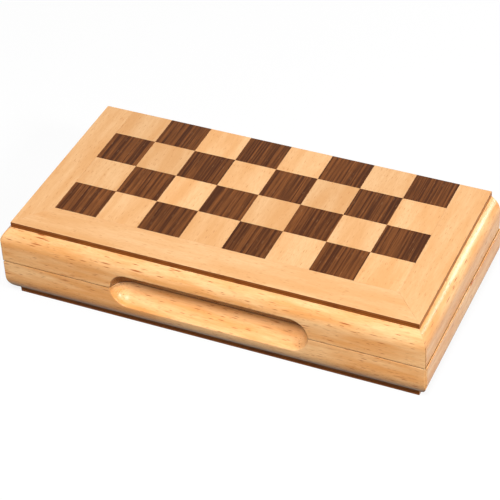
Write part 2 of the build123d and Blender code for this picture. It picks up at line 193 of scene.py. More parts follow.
class Grain(Enum):
    """Which way the fibres run: the turn in degrees that lays them along the pattern's X axis."""

    ALONG_X = (0.0, 0.0, 0.0)
    ALONG_Y = (0.0, 0.0, 90.0)


@dataclass(frozen=True)
class Squares:
    """Where inlaid squares lie, so that each one is cut from another place in the veneer."""

    left: float
    front: float
    pitch: float


@dataclass(frozen=True)
class Seam:
    """A dark line along a joint, as a plane through a point, with the line's width: glue in a
    mitre, painted shade in the gap where the case parts.
    """

    point: Triple
    across: Triple
    width_mm: float
    strength: float
    shade: str


@dataclass(frozen=True)
class Fleck:
    """Dashes of one size along the grain: one in some of the cells of a net of this pitch.

    Each is between the smallest and the largest in shares of that size, and solid only in its
    middle. The palest share of them fades from nothing to the full strength.
    """

    width_mm: float
    length_mm: float
    pitch_mm: float
    share: float
    strength: float
    smallest: float = 0.5
    largest: float = 1.3
    solid: float = 0.2
    palest: float = 0.7


@dataclass(frozen=True)
class PaintedShade:
    """Painted shade on wood: darker in narrow gaps, in hollows and underneath, where little light
    comes.
    """

    gap_shade: str = "#2b1204"
    hollow_shade: str = "#5c2a07"
    gap_mm: float = 5.0
    gap_light: Pair = (0.30, 0.72)
    darkest_gap_shade: float = 0.95
    hollow_mm: float = 16.0
    hollow_light: Pair = (0.66, 0.93)
    darkest_hollow_shade: float = 0.92
    hollow_shade_above_mm: Pair = (8.0, 13.0)
    foot_below_mm: Pair = (5.0, 9.5)
    facing_up: Pair = (-0.05, 0.28)

    def make(self, tree: Tree) -> tuple[Node, Node]:
        """Find where shade is painted: where little light comes, in hollows above a height, near
        the foot, and on faces turned down.

        Args:
            tree: The material's node tree.

        Returns:
            How much painted shade shows in gaps and how much in hollows, each from 0 to 1.
        """
        # Ambient occlusion finds the gaps and hollows, which get painted shade.
        gap, shelter = (
            add_node(tree, "AmbientOcclusion", {"samples": 6, "Distance": reach * MM})
            for reach in (self.gap_mm, self.hollow_mm)
        )
        place = add_node(tree, "TexCoord").outputs
        height = add_node(tree, "SeparateXYZ", {0: place["Object"]}).outputs["Z"]
        rise = add_node(tree, "SeparateXYZ", {0: place["Normal"]}).outputs["Z"]
        gap_shade, hollow, high_enough, foot, under = (
            add_node(tree, "MapRange", {
                "Value": source, "From Min": span[0] * unit, "From Max": span[1] * unit,
                "To Min": first, "To Max": last,
            })
            for source, span, unit, first, last in (
                (gap.outputs["AO"], self.gap_light, 1.0, self.darkest_gap_shade, 0.0),
                (shelter.outputs["AO"], self.hollow_light, 1.0, self.darkest_hollow_shade, 0.0),
                (height, self.hollow_shade_above_mm, MM, 0.0, 1.0),
                (height, self.foot_below_mm, MM, 1.0, 0.0),
                (rise, self.facing_up, 1.0, 1.0, 0.0),
            )
        )
        under.interpolation_type = "SMOOTHSTEP"
        # Painted shade in hollows above a height and near the foot, on faces that do not face up.
        hollow = add_node(tree, "Math MULTIPLY_ADD", {0: hollow, 1: high_enough, 2: foot})
        return gap_shade, add_node(tree, "Math MULTIPLY", {0: hollow, 1: under})


@dataclass(frozen=True)
class Wood:
    """A lacquered wood: soft growth bands, fine fibres, and short flecks along the grain."""

    name: str
    early: str
    late: str
    fibre: str
    fleck: str
    flecks: tuple[Fleck, ...]
    band_mm: float
    band_length_mm: float
    fibre_mm: float
    fibre_length_mm: float
    roughness: float
    gloss: float
    coat: float
    coat_roughness: float = 0.3
    band_range: Pair = (0.30, 0.70)
    fibre_range: Pair = (0.38, 0.72)
    fibre_strength: float = 0.35
    wander_mm: float = 0.8
    wander_net_mm: Pair = (110.0, 28.0)
    tone_range: float = 0.0
    relief_mm: float = 0.01
    arris_mm: float = 0.0
    # Painted shade in gaps, hollows and underneath, if the wood has any.
    painted_shade: PaintedShade | None = None

    def make(
        self, label: str, grain: Grain, seed: float, squares: Squares | None = None,
        seams: tuple[Seam, ...] = (), outward: Triple | None = None,
    ) -> bpy.types.Material:
        """Make this wood for one piece.

        Args:
            label: The piece's name, which goes into the material's name.
            grain: Which way its fibres run.
            seed: Where in the plank it was cut, in millimetres.
            squares: The inlaid squares, if the piece is made of them.
            seams: Joints that show as a thin dark line: glue lines, and painted shade in the gap
                where the case parts.
            outward: Which way the piece's stained edge faces, if it has one.

        Returns:
            The material.
        """
        material, tree = new_material(f"{self.name}_{label}")
        place = add_node(tree, "TexCoord").outputs["Object"]
        point = add_node(tree, "Mapping", {
            "Vector": place, "Scale": (1 / MM, 1 / MM, 1 / MM),
            "Rotation": tuple(math.radians(turn) for turn in grain.value),
            "Location": (seed, 1.7 * seed, 2.3 * seed),
        })
        tone = None
        if squares:
            point, tone = self._cut_squares(tree, place, point, squares)
        point = self._wander(tree, point)
        size_mm = (self.band_length_mm, self.band_mm)
        bands = self._streaks(tree, point, size_mm, self.band_range, finer=0.55)
        bands.interpolation_type = "SMOOTHSTEP"
        size_mm = (self.fibre_length_mm, self.fibre_mm)
        fibres = self._streaks(tree, point, size_mm, self.fibre_range, finer=0.6)
        shown = add_node(tree, "Math MULTIPLY", {0: fibres, 1: self.fibre_strength})
        flecks = self._all_flecks(tree, point)
        layers = [(bands, self.late), (shown, self.fibre), (flecks, self.fleck)]
        layers += [(self._seam_line(tree, place, seam), seam.shade) for seam in seams]
        if outward:
            layers.append((self._sawn_edge(tree, outward), EDGE_STAIN))
        # Painted shade in gaps, hollows and underneath darkens the colour.
        unshaded = None
        if self.painted_shade:
            gap_shade, hollow_shade = self.painted_shade.make(tree)
            layers += [(hollow_shade, self.painted_shade.hollow_shade), (gap_shade, self.painted_shade.gap_shade)]
            shaded = add_node(tree, "Math MAXIMUM", {0: gap_shade, 1: hollow_shade})
            unshaded = add_node(tree, "Math SUBTRACT", {0: 1.0, 1: shaded})
        colour = paint(tree, self.early, layers)
        if tone:
            value = add_node(tree, "MapRange", {
                "Value": tone, "To Min": 1 - self.tone_range, "To Max": 1 + self.tone_range
            })
            colour = add_node(tree, "HueSaturation", {"Value": value, "Color": colour})
        self._surface(tree, colour, fibres, flecks, unshaded)
        return material

    def _cut_squares(
        self, tree: Tree, place: Socket, point: Node, squares: Squares
    ) -> tuple[Node, Socket]:
        """Shift the pattern from square to square, as a sawn strip of veneer does.

        Args:
            tree: The material's node tree.
            place: The place on the piece, in metres.
            point: The place in the plank, in millimetres.
            squares: Where the squares lie.

        Returns:
            The shifted place in the plank, and a random number for each square.
        """
        whole_height = 10.0
        corner = (squares.left, squares.front, -1.0)
        step = (squares.pitch, squares.pitch, whole_height)
        farthest_leap_mm = (180.0, 240.0, 90.0)
        off = add_node(tree, "VectorMath SUBTRACT", {0: place, 1: corner})
        steps = add_node(tree, "VectorMath DIVIDE", {0: off, 1: step})
        cell = add_node(tree, "VectorMath FLOOR", {0: steps})
        dice = add_node(tree, "TexWhiteNoise", {"Vector": cell, "noise_dimensions": "3D"})
        leap = add_node(tree, "VectorMath MULTIPLY", {
            0: dice.outputs["Color"], 1: farthest_leap_mm
        })
        shifted = add_node(tree, "VectorMath ADD", {0: point, 1: leap})
        return shifted, dice.outputs["Value"]

    def _stretch(self, tree: Tree, point: Node, along_mm: float, across_mm: float) -> Node:
        """Scale the place so that one unit is this long along the grain and this wide across."""
        scale = (1 / along_mm, 1 / across_mm, 1 / across_mm)
        return add_node(tree, "VectorMath MULTIPLY", {0: point, 1: scale})

    def _wander(self, tree: Tree, point: Node) -> Node:
        """Bend the fibres slowly sideways, as a real plank's grain does.

        Args:
            tree: The material's node tree.
            point: The place in the plank, in millimetres.

        Returns:
            The place with the bend.
        """
        drift = add_node(tree, "TexNoise", {
            "Vector": self._stretch(tree, point, *self.wander_net_mm), "Scale": 1.0, "Detail": 2.0
        })
        centred = add_node(tree, "VectorMath SUBTRACT", {
            0: drift.outputs["Color"], 1: (0.5, 0.5, 0.5)
        })
        reach = (0.0, 2 * self.wander_mm, 2 * self.wander_mm)
        side = add_node(tree, "VectorMath MULTIPLY", {0: centred, 1: reach})
        return add_node(tree, "VectorMath ADD", {0: point, 1: side})

    def _streaks(self, tree: Tree, point: Node, size_mm: Pair, span: Pair, finer: float) -> Node:
        """Draw streaks along the grain: growth bands, or fine fibres.

        Args:
            tree: The material's node tree.
            point: The place in the plank, in millimetres.
            size_mm: How long and how wide the streaks are.
            span: The values of the noise at which a streak begins and is full.
            finer: How strong the finer streaks among them are.

        Returns:
            How much of a streak there is, from 0 to 1.
        """
        noise = add_node(tree, "TexNoise", {
            "Vector": self._stretch(tree, point, *size_mm), "Scale": 1.0, "Detail": 3.0,
            "Roughness": finer,
        })
        low, high = span
        return add_node(tree, "MapRange", {"Value": noise, "From Min": low, "From Max": high})

    def _all_flecks(self, tree: Tree, point: Node) -> Node:
        """Draw the flecks of every size, one over another.

        Args:
            tree: The material's node tree.
            point: The place in the plank, in millimetres.

        Returns:
            How much of the fleck's colour shows, from 0 to 1.
        """
        flecks = self._flecks(tree, point, self.flecks[0])
        for size in self.flecks[1:]:
            more = self._flecks(tree, point, size)
            flecks = add_node(tree, "Math MAXIMUM", {0: flecks, 1: more})
        return flecks

    def _flecks(self, tree: Tree, point: Node, fleck: Fleck) -> Node:
        """Draw short dashes along the grain, of uneven size, in some of the cells of a net.

        Args:
            tree: The material's node tree.
            point: The place in the plank, in millimetres.
            fleck: The size and number of the dashes.

        Returns:
            How much of the fleck's colour shows, from 0 to its strength.
        """
        cell_length = fleck.pitch_mm * fleck.length_mm / fleck.width_mm
        net = add_node(tree, "TexVoronoi", {
            "Vector": self._stretch(tree, point, cell_length, fleck.pitch_mm), "Scale": 1.0
        }).outputs
        dice = add_node(tree, "SeparateColor", {"Color": net["Color"]}).outputs
        edge = fleck.width_mm / (2 * fleck.pitch_mm)
        reach = add_node(tree, "MapRange", {
            "Value": dice[1], "To Min": fleck.smallest * edge, "To Max": fleck.largest * edge
        })
        dash = add_node(tree, "MapRange", {
            "Value": net["Distance"], "interpolation_type": "SMOOTHSTEP",
            "From Min": fleck.solid * edge, "From Max": reach, "To Min": 1.0, "To Max": 0.0,
        })
        kept = add_node(tree, "MapRange", {
            "Value": dice[0], "From Min": 1 - fleck.share,
            "From Max": 1 - (1 - fleck.palest) * fleck.share, "To Max": fleck.strength,
        })
        return add_node(tree, "Math MULTIPLY", {0: dash, 1: kept})

    def _seam_line(self, tree: Tree, place: Socket, seam: Seam) -> Node:
        """Find the hair's width along a joint, but not the faces that meet in it.

        Args:
            tree: The material's node tree.
            place: The place on the piece, in metres.
            seam: The joint's plane and line.

        Returns:
            How much of the line shows, from 0 to its strength.
        """
        away = add_node(tree, "VectorMath SUBTRACT", {0: place, 1: seam.point})
        normal = add_node(tree, "TexCoord").outputs["Normal"]
        factors = []
        for source, nearest, farthest, most in (
            (away, 0.0, seam.width_mm * MM, seam.strength),
            (normal, 0.7, 0.9, 1.0),
        ):
            along = add_node(tree, "VectorMath DOT_PRODUCT", {0: source, 1: seam.across})
            size = add_node(tree, "Math ABSOLUTE", {0: along.outputs["Value"]})
            factors.append(add_node(tree, "MapRange", {
                "Value": size, "From Min": nearest, "From Max": farthest, "To Min": most,
                "To Max": 0.0,
            }))
        return add_node(tree, "Math MULTIPLY", {0: factors[0], 1: factors[1]})

    def _sawn_edge(self, tree: Tree, outward: Triple) -> Node:
        """Find the sawn edge of a veneer, which takes the core's stain.

        Args:
            tree: The material's node tree.
            outward: Which way the edge faces.

        Returns:
            1 on the edge and 0 elsewhere.
        """
        normal = add_node(tree, "TexCoord").outputs["Normal"]
        facing = add_node(tree, "VectorMath DOT_PRODUCT", {0: normal, 1: outward})
        straight = 0.9
        return add_node(tree, "Math GREATER_THAN", {0: facing.outputs["Value"], 1: straight})

    def _surface(
        self, tree: Tree, colour: Node | Socket, fibres: Node, flecks: Node, unshaded: Node | None
    ) -> None:
        """Shade the wood under its lacquer, with the fibres just felt through it.

        Args:
            tree: The material's node tree.
            colour: The wood's colour.
            fibres: Fine fibres, 0 to 1.
            flecks: Dark dashes, 0 to 1.
            unshaded: How far a point lies outside the painted shade, 0 to 1, if the wood has any;
                the painted shade also dulls the lacquer.
        """
        fleck_depth = 1.5
        relief = add_node(tree, "Math MULTIPLY_ADD", {0: flecks, 1: fleck_depth, 2: fibres})
        felt = {
            "Height": relief, "Strength": 0.35, "Distance": self.relief_mm * MM, "invert": True
        }
        if self.arris_mm:
            felt["Normal"] = add_node(tree, "Bevel", {"samples": 4, "Radius": self.arris_mm * MM})
        roughness = add_node(tree, "MapRange", {
            "Value": fibres, "To Min": self.roughness - 0.04, "To Max": self.roughness + 0.06
        })
        shine = {"Specular IOR Level": self.gloss, "Coat Weight": self.coat}
        # Painted shade dulls the lacquer as well.
        if unshaded:
            for name, most in shine.items():
                shine[name] = add_node(tree, "Math MULTIPLY", {0: unshaded, 1: most})
        shader = add_node(tree, "BsdfPrincipled", {
            "Base Color": colour, "Roughness": roughness, "Normal": add_node(tree, "Bump", felt),
            "IOR": 1.5, "Coat Roughness": self.coat_roughness, **shine,
        })
        add_node(tree, "OutputMaterial", {"Surface": shader})


# Solid steamed beech, shaped and sprayed with satin lacquer: warm tan, with the short dark
# ray flecks that tell beech at a glance, and a bright soft highlight on every round.
BEECH_RAIL = Wood(
    name="beech_solid_lacquered",
    early="#ffcb8f", late="#f0a861", fibre="#d68a44", fleck="#b2561c",
    band_mm=7.0, band_length_mm=48.0, band_range=(0.32, 0.68),
    fibre_mm=0.6, fibre_length_mm=6.0, wander_mm=1.6,
    flecks=(
        Fleck(width_mm=0.60, length_mm=5.0, pitch_mm=0.86, share=0.70, strength=0.95),
        Fleck(width_mm=0.95, length_mm=8.5, pitch_mm=2.1, share=0.65, strength=1.0),
        Fleck(width_mm=0.36, length_mm=2.4, pitch_mm=0.55, share=0.65, strength=0.6),
    ),
    roughness=0.42, gloss=0.06, coat=0.42, coat_roughness=0.25, arris_mm=0.25,
    # Painted shade darkens the rails in narrow gaps, in the finger scoop's hollow and near the
    # foot.
    painted_shade=PaintedShade(),
)

# Sliced beech veneer under the same lacquer, rubbed down: paler and pinker, almost without
# bands, with fine flecks that only show near to. Each square is cut from another place.
BEECH_VENEER = Wood(
    name="beech_veneer_lacquered",
    early="#f0c08b", late="#e4aa6f", fibre="#d9985b", fleck="#c0702c",
    band_mm=9.0, band_length_mm=60.0, fibre_mm=0.55, fibre_length_mm=5.0,
    flecks=(
        Fleck(width_mm=0.40, length_mm=3.2, pitch_mm=0.62, share=0.60, strength=0.78),
        Fleck(width_mm=0.30, length_mm=1.8, pitch_mm=0.46, share=0.55, strength=0.50),
    ),
    tone_range=0.08, roughness=0.45, gloss=0.2, coat=0.12,
)

# Walnut veneer under the same lacquer: chocolate brown with darker stripes of uneven width
# along the grain, and fine open pores as short pale lines.
WALNUT_VENEER = Wood(
    name="walnut_veneer_lacquered",
    early="#885026", late="#4c2406", fibre="#301402", fleck="#a07450",
    band_mm=1.5, band_length_mm=110.0, band_range=(0.36, 0.64),
    fibre_mm=0.42, fibre_length_mm=14.0, fibre_strength=0.72, wander_mm=0.6,
    flecks=(Fleck(width_mm=0.38, length_mm=3.4, pitch_mm=0.60, share=0.45, strength=0.5),),
    tone_range=0.10, roughness=0.45, gloss=0.10, coat=0.03,
)

# Boxwood, turned and waxed: even pale yellow with hardly any figure, and a mild shine.
BOXWOOD = Wood(
    name="boxwood_turned_waxed",
    early="#efc67f", late="#e2b066", fibre="#cc964e", fleck="#a8713a",
    band_mm=3.0, band_length_mm=60.0, fibre_mm=0.5, fibre_length_mm=12.0,
    flecks=(Fleck(width_mm=0.3, length_mm=1.6, pitch_mm=0.8, share=0.4, strength=0.4),),
    roughness=0.38, gloss=0.3, coat=0.3, coat_roughness=0.2, arris_mm=0.15,
)

# The same turned wood stained dark: deep brown with the grain showing through as black lines.
STAINED_BOXWOOD = replace(
    BOXWOOD,
    name="boxwood_turned_stained",
    early="#6e3b1d", late="#4b2410", fibre="#2e1408", fleck="#200d05", fibre_strength=0.5,
    flecks=(Fleck(width_mm=0.3, length_mm=1.6, pitch_mm=0.8, share=0.4, strength=0.5),),
    roughness=0.35, coat=0.35, coat_roughness=0.18,
)


@dataclass(frozen=True)
class PlywoodEdge:
    """The panel's core: thin plies one on another, sawn and stained on the edge.

    The edges that face the sides are paler: partly a lighter stain on the long grain, partly
    painted light from the side.
    """

    name: str = "plywood_core_stained"
    long_ply: str = "#a05c22"
    cross_ply: str = EDGE_STAIN
    glue: str = "#4a1f08"
    blotch: str = "#6b3410"
    side_stain_and_light: str = "#c98a50"
    side_strength: float = 0.75
    plies: int = 5
    blotch_mm: float = 9.0
    fibre_mm: float = 0.5
    relief_mm: float = 0.05

    def make(self, label: str, outer: float, inner: float) -> bpy.types.Material:
        """Make the core of one panel.

        Args:
            label: The piece's name, which goes into the material's name.
            outer: Height of the face under the veneer, in metres.
            inner: Height of the face inside the case, in metres.

        Returns:
            The material.
        """
        material, tree = new_material(f"{self.name}_{label}")
        place = add_node(tree, "TexCoord").outputs
        crossed, glue_line = self._plies(tree, place["Object"], outer, inner)
        grain, cloud = (
            add_node(tree, "TexNoise", {
                "Vector": place["Object"], "Scale": 1 / (size * MM), "Detail": 3.0
            })
            for size in (self.fibre_mm, self.blotch_mm)
        )
        blot = add_node(tree, "MapRange", {
            "Value": cloud, "From Min": 0.42, "From Max": 0.7, "To Max": 0.7
        })
        # Painted paler on faces turned to the sides: partly stain, partly painted light.
        sideways = add_node(tree, "SeparateXYZ", {0: place["Normal"]}).outputs["X"]
        on_side = add_node(tree, "Math ABSOLUTE", {0: sideways})
        paler = add_node(tree, "Math MULTIPLY", {0: on_side, 1: self.side_strength})
        layers = (
            (crossed, self.cross_ply),
            (blot, self.blotch),
            (glue_line, self.glue),
            (paler, self.side_stain_and_light),
        )
        colour = paint(tree, self.long_ply, layers)
        bump = add_node(tree, "Bump", {
            "Height": grain, "Strength": 0.5, "Distance": self.relief_mm * MM
        })
        shader = add_node(tree, "BsdfPrincipled", {
            "Base Color": colour, "Normal": bump, "IOR": 1.5, "Specular IOR Level": 0.12,
            "Roughness": 0.55,
        })
        add_node(tree, "OutputMaterial", {"Surface": shader})
        return material

    def _plies(self, tree: Tree, place: Socket, outer: float, inner: float) -> tuple[Node, Node]:
        """Lay the plies one on another.

        Args:
            tree: The material's node tree.
            place: The place on the piece, in metres.
            outer: Height of the face under the veneer, in metres.
            inner: Height of the face inside the case, in metres.

        Returns:
            1 in the plies that lie across and 0 in the others, and how much glue shows.
        """
        height = add_node(tree, "SeparateXYZ", {0: place}).outputs["Z"]
        ply = add_node(tree, "MapRange", {
            "Value": height, "clamp": False, "From Min": outer, "From Max": inner,
            "To Max": float(self.plies),
        })
        part = add_node(tree, "Math FRACT", {0: ply})
        past_middle = add_node(tree, "Math SUBTRACT", {0: part, 1: 0.5})
        off_middle = add_node(tree, "Math ABSOLUTE", {0: past_middle})
        glue_line = add_node(tree, "MapRange", {
            "Value": off_middle, "From Min": 0.40, "From Max": 0.5, "To Max": 0.85
        })
        turned = add_node(tree, "Math PINGPONG", {0: ply, 1: 1.0})
        crossed = add_node(tree, "MapRange", {
            "Value": turned, "interpolation_type": "SMOOTHSTEP", "From Min": 0.35, "From Max": 0.65
        })
        return crossed, glue_line


@dataclass(frozen=True)
class Metal:
    """A bare or plated metal, brushed or tumbled, with faint smears in its shine."""

    name: str
    colour: str
    worn: str
    roughness: float
    scratch_mm: float
    scratch_stretch: float = 0.08
    smear_mm: float = 5.0
    relief_mm: float = 0.01

    def make(self) -> bpy.types.Material:
        """Make the metal.

        Returns:
            The material.
        """
        material, tree = new_material(self.name)
        place = add_node(tree, "TexCoord").outputs["Object"]
        scale = (self.scratch_stretch / MM, 1 / MM, 1 / MM)
        stretched = add_node(tree, "VectorMath MULTIPLY", {0: place, 1: scale})
        brushed = add_node(tree, "TexNoise", {
            "Vector": stretched, "Scale": 1 / self.scratch_mm, "Detail": 3.0
        })
        smear = add_node(tree, "TexNoise", {
            "Vector": place, "Scale": 1 / (self.smear_mm * MM), "Detail": 2.0
        })
        colour = paint(tree, self.colour, [(smear, self.worn)])
        roughness = add_node(tree, "MapRange", {
            "Value": brushed, "To Min": self.roughness - 0.08, "To Max": self.roughness + 0.12
        })
        bump = add_node(tree, "Bump", {
            "Height": brushed, "Strength": 0.3, "Distance": self.relief_mm * MM
        })
        shader = add_node(tree, "BsdfPrincipled", {
            "Base Color": colour, "Roughness": roughness, "Normal": bump, "Metallic": 1.0
        })
        add_node(tree, "OutputMaterial", {"Surface": shader})
        return material


# Rolled brass, tumbled bright: warm yellow with a soft shine on the leaves and knuckles.
BRASS = Metal("brass_tumbled", "#d9b15c", worn="#b98a3c", roughness=0.3, scratch_mm=0.15)

# Drawn steel wire, bright, for the hinge pins: a cooler grey than the brass round it.
STEEL_PIN = Metal(
    "steel_bright_drawn", "#b9bcc0", worn="#94979b", roughness=0.28, scratch_mm=0.1
)

# Tinned steel sheet under the veneer: dull silver where an edge of it shows.
TINNED_STEEL = Metal(
    "steel_sheet_tinned", "#c4c6c6", worn="#9fa2a3", roughness=0.4, scratch_mm=0.3
)

# Nickel plated magnets: mirror bright with a faint yellow cast.
NICKEL = Metal(
    "nickel_plated_magnet", "#cfccc2", worn="#b3afa4", roughness=0.18, scratch_mm=0.2
)


@dataclass(frozen=True)
class Pile:
    """A short fibre pile, flocked or felted: matt, with a soft bloom at a grazing angle."""

    name: str
    colour: str
    shadow: str
    fibre_mm: float
    clump_mm: float
    sheen: float
    relief_mm: float = 0.15

    def make(self) -> bpy.types.Material:
        """Make the pile.

        Returns:
            The material.
        """
        material, tree = new_material(self.name)
        place = add_node(tree, "TexCoord").outputs["Object"]
        fuzz = add_node(tree, "TexNoise", {
            "Vector": place, "Scale": 1 / (self.fibre_mm * MM), "Detail": 4.0, "Roughness": 0.7
        })
        clumps = add_node(tree, "TexNoise", {
            "Vector": place, "Scale": 1 / (self.clump_mm * MM), "Detail": 2.0
        })
        mixed = add_node(tree, "Math MULTIPLY_ADD", {0: clumps, 1: 0.6, 2: fuzz})
        shade = add_node(tree, "MapRange", {"Value": mixed, "From Min": 0.55, "From Max": 1.05})
        colour = paint(tree, self.shadow, [(shade, self.colour)])
        bump = add_node(tree, "Bump", {
            "Height": fuzz, "Strength": 0.8, "Distance": self.relief_mm * MM
        })
        shader = add_node(tree, "BsdfPrincipled", {
            "Base Color": colour, "Normal": bump, "IOR": 1.45, "Roughness": 0.95,
            "Sheen Weight": self.sheen, "Sheen Roughness": 0.5, "Sheen Tint": linear(self.colour),
        })
        add_node(tree, "OutputMaterial", {"Surface": shader})
        return material


# Nylon flock on the moulded tray: deep green, matt, with a pale bloom at its edges.
FLOCK = Pile(
    "nylon_flock_green", "#2f6b45", shadow="#173a25", fibre_mm=0.35, clump_mm=5.0, sheen=0.5
)

# Wool baize under each man: a brighter green felt with coarser clumps.
BAIZE = Pile(
    "wool_baize_green", "#3c7d4a", shadow="#24552f", fibre_mm=0.5, clump_mm=2.5, sheen=0.35
)


# Sub-assemblies

class Half(Enum):
    """The two halves of the case, by the word that starts their nodes' names."""

    BASE = "base"
    LID = "lid"


@dataclass
class Frame:
    """The mitred beech rails of one half."""

    half: Half
    seed: float
    glued_mm: float = 0.22
    glued_strength: float = 0.45
    glued_shade: str = "#a95c26"
    parting_shade_mm: float = 0.55
    parting_shade_strength: float = 0.9
    parting_shade_colour: str = "#4a2209"

    def seams(self) -> dict[str, Seam]:
        """Find the joints that show, and the gap where shade is painted.

        Returns:
            The glue lines of the mitres at the left and the right front corner, and painted shade
            along the line where the case parts.
        """
        low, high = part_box(f"{self.half.value}_front_rail")
        slope = math.sqrt(0.5)
        glued = (self.glued_mm, self.glued_strength, self.glued_shade)
        parting_shade_line = (self.parting_shade_mm, self.parting_shade_strength, self.parting_shade_colour)
        meeting = high.z if self.half is Half.BASE else low.z
        return {
            "left": Seam((low.x, low.y, 0.0), (slope, -slope, 0.0), *glued),
            "right": Seam((high.x, low.y, 0.0), (slope, slope, 0.0), *glued),
            # Painted shade: a dark line in the gap where lid and base meet.
            "parting": Seam((0.0, 0.0, meeting), (0.0, 0.0, 1.0), *parting_shade_line),
        }

    def build(self) -> None:
        """Dress the four rails, each cut from another place in the plank."""
        seams = self.seams()
        rails = {
            "front_rail": (Grain.ALONG_X, ("left", "right", "parting")),
            "left_rail": (Grain.ALONG_Y, ("left", "parting")),
            "right_rail": (Grain.ALONG_Y, ("right", "parting")),
            "back_rail": (Grain.ALONG_X, ("parting",)),
        }
        for number, (rail, (grain, joints)) in enumerate(rails.items()):
            node = f"{self.half.value}_{rail}"
            seed = self.seed + 137.0 * number
            shown = tuple(seams[joint] for joint in joints)
            dress(node, BEECH_RAIL.make(node, grain, seed, seams=shown))


@dataclass
class Board:
    """One half of the board: its core, steel sheet, border strips and squares."""

    half: Half
    seed: float
    files: int = 8

    def squares(self) -> Squares:
        """Find the squares between the side borders.

        Returns:
            Their corner and pitch.
        """
        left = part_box(f"{self.half.value}_border_left")[1].x
        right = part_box(f"{self.half.value}_border_right")[0].x
        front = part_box(f"{self.half.value}_border_front")[1].y
        return Squares(left, front, (right - left) / self.files)

    def build(self) -> None:
        """Dress the veneers, the core and the steel sheet."""
        name = self.half.value
        squares = self.squares()
        strips = {
            "border_front": (Grain.ALONG_X, (0.0, -1.0, 0.0)),
            "border_left": (Grain.ALONG_Y, (-1.0, 0.0, 0.0)),
            "border_right": (Grain.ALONG_Y, (1.0, 0.0, 0.0)),
        }
        for number, (strip, (grain, outward)) in enumerate(strips.items()):
            node = f"{name}_{strip}"
            seed = self.seed + 61.0 * number
            dress(node, BEECH_VENEER.make(node, grain, seed, outward=outward))
        for kind, wood in (("dark_squares", WALNUT_VENEER), ("light_squares", BEECH_VENEER)):
            node = f"{name}_{kind}"
            dress(node, wood.make(node, Grain.ALONG_Y, self.seed, squares=squares))
        low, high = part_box(f"{name}_panel_core")
        outer, inner = (low.z, high.z) if self.half is Half.BASE else (high.z, low.z)
        dress(f"{name}_panel_core", PlywoodEdge().make(name, outer, inner))
        dress(f"{name}_steel_sheet", TINNED_STEEL.make())


@dataclass
class Hardware:
    """Hinges, their pins and screws, and the magnets that hold the case shut."""

    def build(self) -> None:
        """Dress every metal piece of the case."""
        brass, pin, nickel = BRASS.make(), STEEL_PIN.make(), NICKEL.make()
        for half in Half:
            dress(f"{half.value}_hinge_leaves", brass)
            dress(f"{half.value}_hinge_screws", brass)
            dress(f"{half.value}_clasp_magnets", nickel)
        dress("hinge_pins", pin)


@dataclass
class Lining:
    """The flocked trays that the men lie in."""

    def build(self) -> None:
        """Dress both trays."""
        flock = FLOCK.make()
        for half in Half:
            dress(f"{half.value}_tray", flock)


def islands(node: str) -> list[tuple[Vector, Vector]]:
    """Find the separate copies in a CAD node.

    Args:
        node: The CAD node's name.

    Returns:
        The lowest and highest corner of each copy, in order of their places.
    """
    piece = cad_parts[node]
    shape = bmesh.new()
    shape.from_mesh(piece.data)
    shape.transform(piece.matrix_world)
    bmesh.ops.remove_doubles(shape, verts=shape.verts, dist=1e-7)
    left, boxes = set(shape.verts), []
    while left:
        front, copy = [left.pop()], []
        while front:
            corner = front.pop()
            copy.append(corner.co)
            near = {edge.other_vert(corner) for edge in corner.link_edges} & left
            left -= near
            front.extend(near)
        low, high = (Vector(pick(c[i] for c in copy) for i in range(3)) for pick in (min, max))
        boxes.append((low, high))
    shape.free()
    return sorted(boxes, key=lambda box: (round(box[0].x, 5), round(box[0].y, 5)))


@dataclass(frozen=True)
class Stroke:
    """One stroke of the carver's knife on both cheeks: a groove along a line.

    Places are in shares of the foot's radius, forward from its axis and up from the head's foot.
    """

    path: tuple[Pair, ...]
    width_mm: float
    depth_mm: float

    def distance(self, forward: np.ndarray, up: np.ndarray) -> np.ndarray:
        """Measure how far points lie from the stroke.

        Args:
            forward: Each point's place forward, in shares of the radius.
            up: Each point's place up, in shares of the radius.

        Returns:
            The distances, in shares of the radius.
        """
        nearest = np.full(forward.shape, np.inf)
        for (x0, z0), (x1, z1) in zip(self.path, self.path[1:]):
            along_x, along_z = x1 - x0, z1 - z0
            span = max(along_x**2 + along_z**2, 1e-9)
            share = ((forward - x0) * along_x + (up - z0) * along_z) / span
            share = np.clip(share, 0.0, 1.0)
            off = np.hypot(forward - x0 - share * along_x, up - z0 - share * along_z)
            nearest = np.minimum(nearest, off)
        return nearest


def arc(centre: Pair, radius: float, start_deg: float, end_deg: float) -> tuple[Pair, ...]:
    """Lay eight points along an arc, for a curved stroke.

    Args:
        centre: The arc's centre, forward and up.
        radius: Its radius.
        start_deg: Where it starts, turning from forward to up.
        end_deg: Where it ends.

    Returns:
        The points.
    """
    turns = [math.radians(start_deg + (end_deg - start_deg) * step / 7) for step in range(8)]
    return tuple(
        (centre[0] + radius * math.cos(turn), centre[1] + radius * math.sin(turn))
        for turn in turns
    )


def point_along(line: tuple[Pair, ...], share: float) -> Pair:
    """Find a point on a line.

    Args:
        line: The line's points.
        share: How far along it, from 0 to 1, with even steps from point to point.

    Returns:
        The point.
    """
    place = min(max(share, 0.0), 1.0) * (len(line) - 1)
    step = min(int(place), len(line) - 2)
    (x0, z0), (x1, z1) = line[step], line[step + 1]
    return x0 + (place - step) * (x1 - x0), z0 + (place - step) * (z1 - z0)


